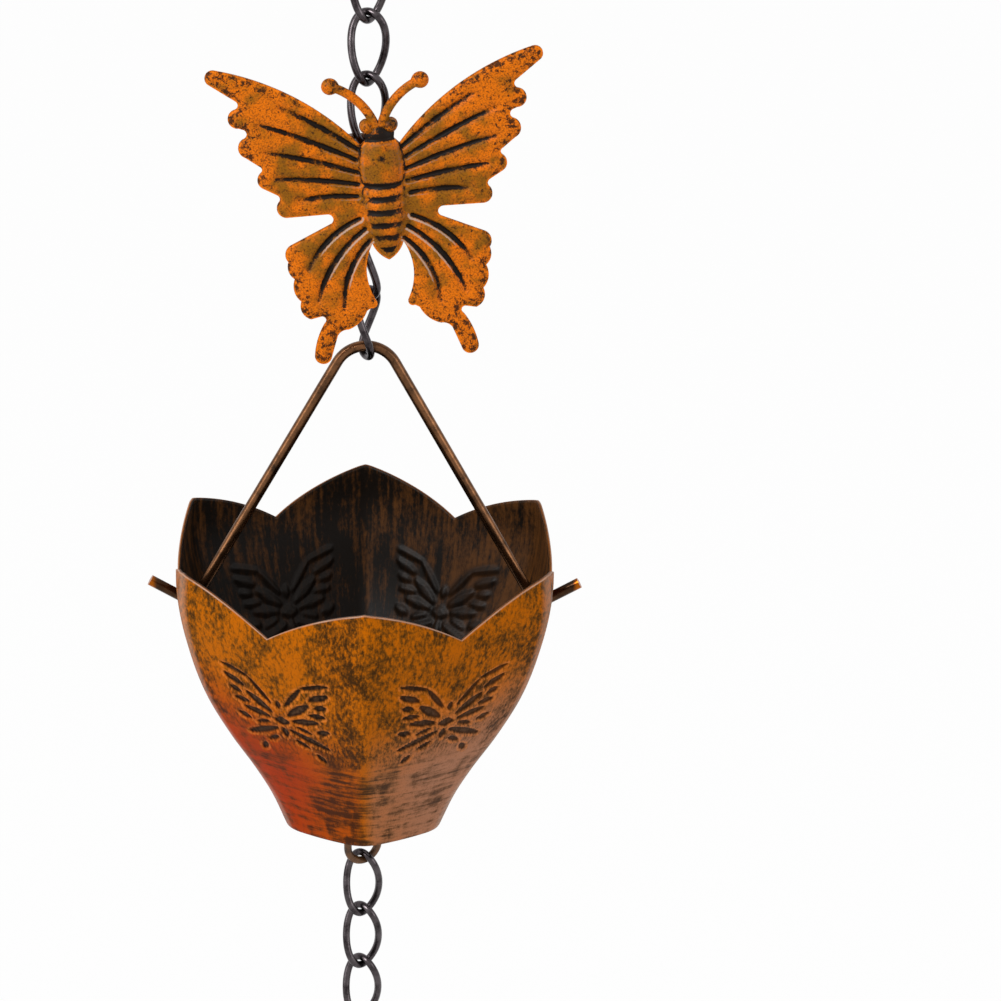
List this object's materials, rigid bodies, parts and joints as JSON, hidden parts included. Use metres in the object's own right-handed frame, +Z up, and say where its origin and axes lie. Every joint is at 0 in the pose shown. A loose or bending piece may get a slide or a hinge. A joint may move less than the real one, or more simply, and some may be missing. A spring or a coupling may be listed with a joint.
{
  "type": "rain chain",
  "caption": "Decorative rain chain unit: twisted wire links carry a butterfly ornament and, on a wire bail, a six-sided petal cup that lets rain run down.",
  "frame": {"origin": "where a hook bears at the top of the eye of the top link", "axes": "+Z up along the hanging chain, +X to the right of someone facing the butterfly, -Y towards them"},
  "size_m": [0.1212, 0.1166, 0.3184],
  "materials": {
    "rust_paint": "rust-orange paint dry-brushed over black, satin",
    "bail_wire": "dark bronze-brown coated wire, satin",
    "chain_wire": "dark gunmetal wire, worn bright on the bends"
  },
  "bodies": {
    "top_link": {"top_link_1": "chain_wire"},
    "second_link": {"top_link_2": "chain_wire"},
    "third_link": {"top_link_3": "chain_wire"},
    "ornament": {"butterfly": "rust_paint", "upper_staple": "rust_paint", "lower_staple": "rust_paint"},
    "upper_middle_link": {"middle_link_1": "chain_wire"},
    "lower_middle_link": {"middle_link_2": "chain_wire"},
    "handle": {"bail": "bail_wire"},
    "cup_body": {"cup": "rust_paint", "cup_loop": "rust_paint"},
    "first_lower_link": {"bottom_link_1": "chain_wire"},
    "second_lower_link": {"bottom_link_2": "chain_wire"},
    "third_lower_link": {"bottom_link_3": "chain_wire"}
  },
  "joints": [
    {"name": "second_link_swing", "type": "hinge", "parent": "top_link", "child": "second_link", "pos_m": [0, 0, -0.01815], "axis": [0.5, 0.866, 0], "range_deg": [-80, 80]},
    {"name": "third_link_swing", "type": "hinge", "parent": "second_link", "child": "third_link", "pos_m": [0, 0, -0.03285], "axis": [0.866, -0.5, 0], "range_deg": [-30, 80]},
    {"name": "ornament_swing", "type": "hinge", "parent": "third_link", "child": "ornament", "pos_m": [0, 0, -0.04985], "axis": [1, 0, 0], "range_deg": [-12, 80]},
    {"name": "upper_middle_link_swing", "type": "hinge", "parent": "ornament", "child": "upper_middle_link", "pos_m": [0, 0, -0.07755], "axis": [1, 0, 0], "range_deg": [-3, 80]},
    {"name": "lower_middle_link_swing", "type": "hinge", "parent": "upper_middle_link", "child": "lower_middle_link", "pos_m": [0, 0, -0.09455], "axis": [-0.866, 0.5, 0], "range_deg": [-40, 8]},
    {"name": "handle_swing", "type": "hinge", "parent": "lower_middle_link", "child": "handle", "pos_m": [0, 0, -0.1115], "axis": [-0.5, 0.866, 0], "range_deg": [-30, 30]},
    {"name": "cup_tip", "type": "hinge", "parent": "handle", "child": "cup_body", "pos_m": [0, 0, -0.18325], "axis": [1, 0, 0], "range_deg": [-70, 70]},
    {"name": "first_lower_link_swing", "type": "hinge", "parent": "cup_body", "child": "first_lower_link", "pos_m": [0, 0, -0.26445], "axis": [0.866, 0.5, 0], "range_deg": [-80, 80]},
    {"name": "second_lower_link_swing", "type": "hinge", "parent": "first_lower_link", "child": "second_lower_link", "pos_m": [0, 0, -0.2791], "axis": [0.7071, -0.7071, 0], "range_deg": [-80, 80]},
    {"name": "third_lower_link_swing", "type": "hinge", "parent": "second_lower_link", "child": "third_lower_link", "pos_m": [0, 0, -0.2983], "axis": [0.7071, 0.7071, 0], "range_deg": [-80, 80]}
  ]
}
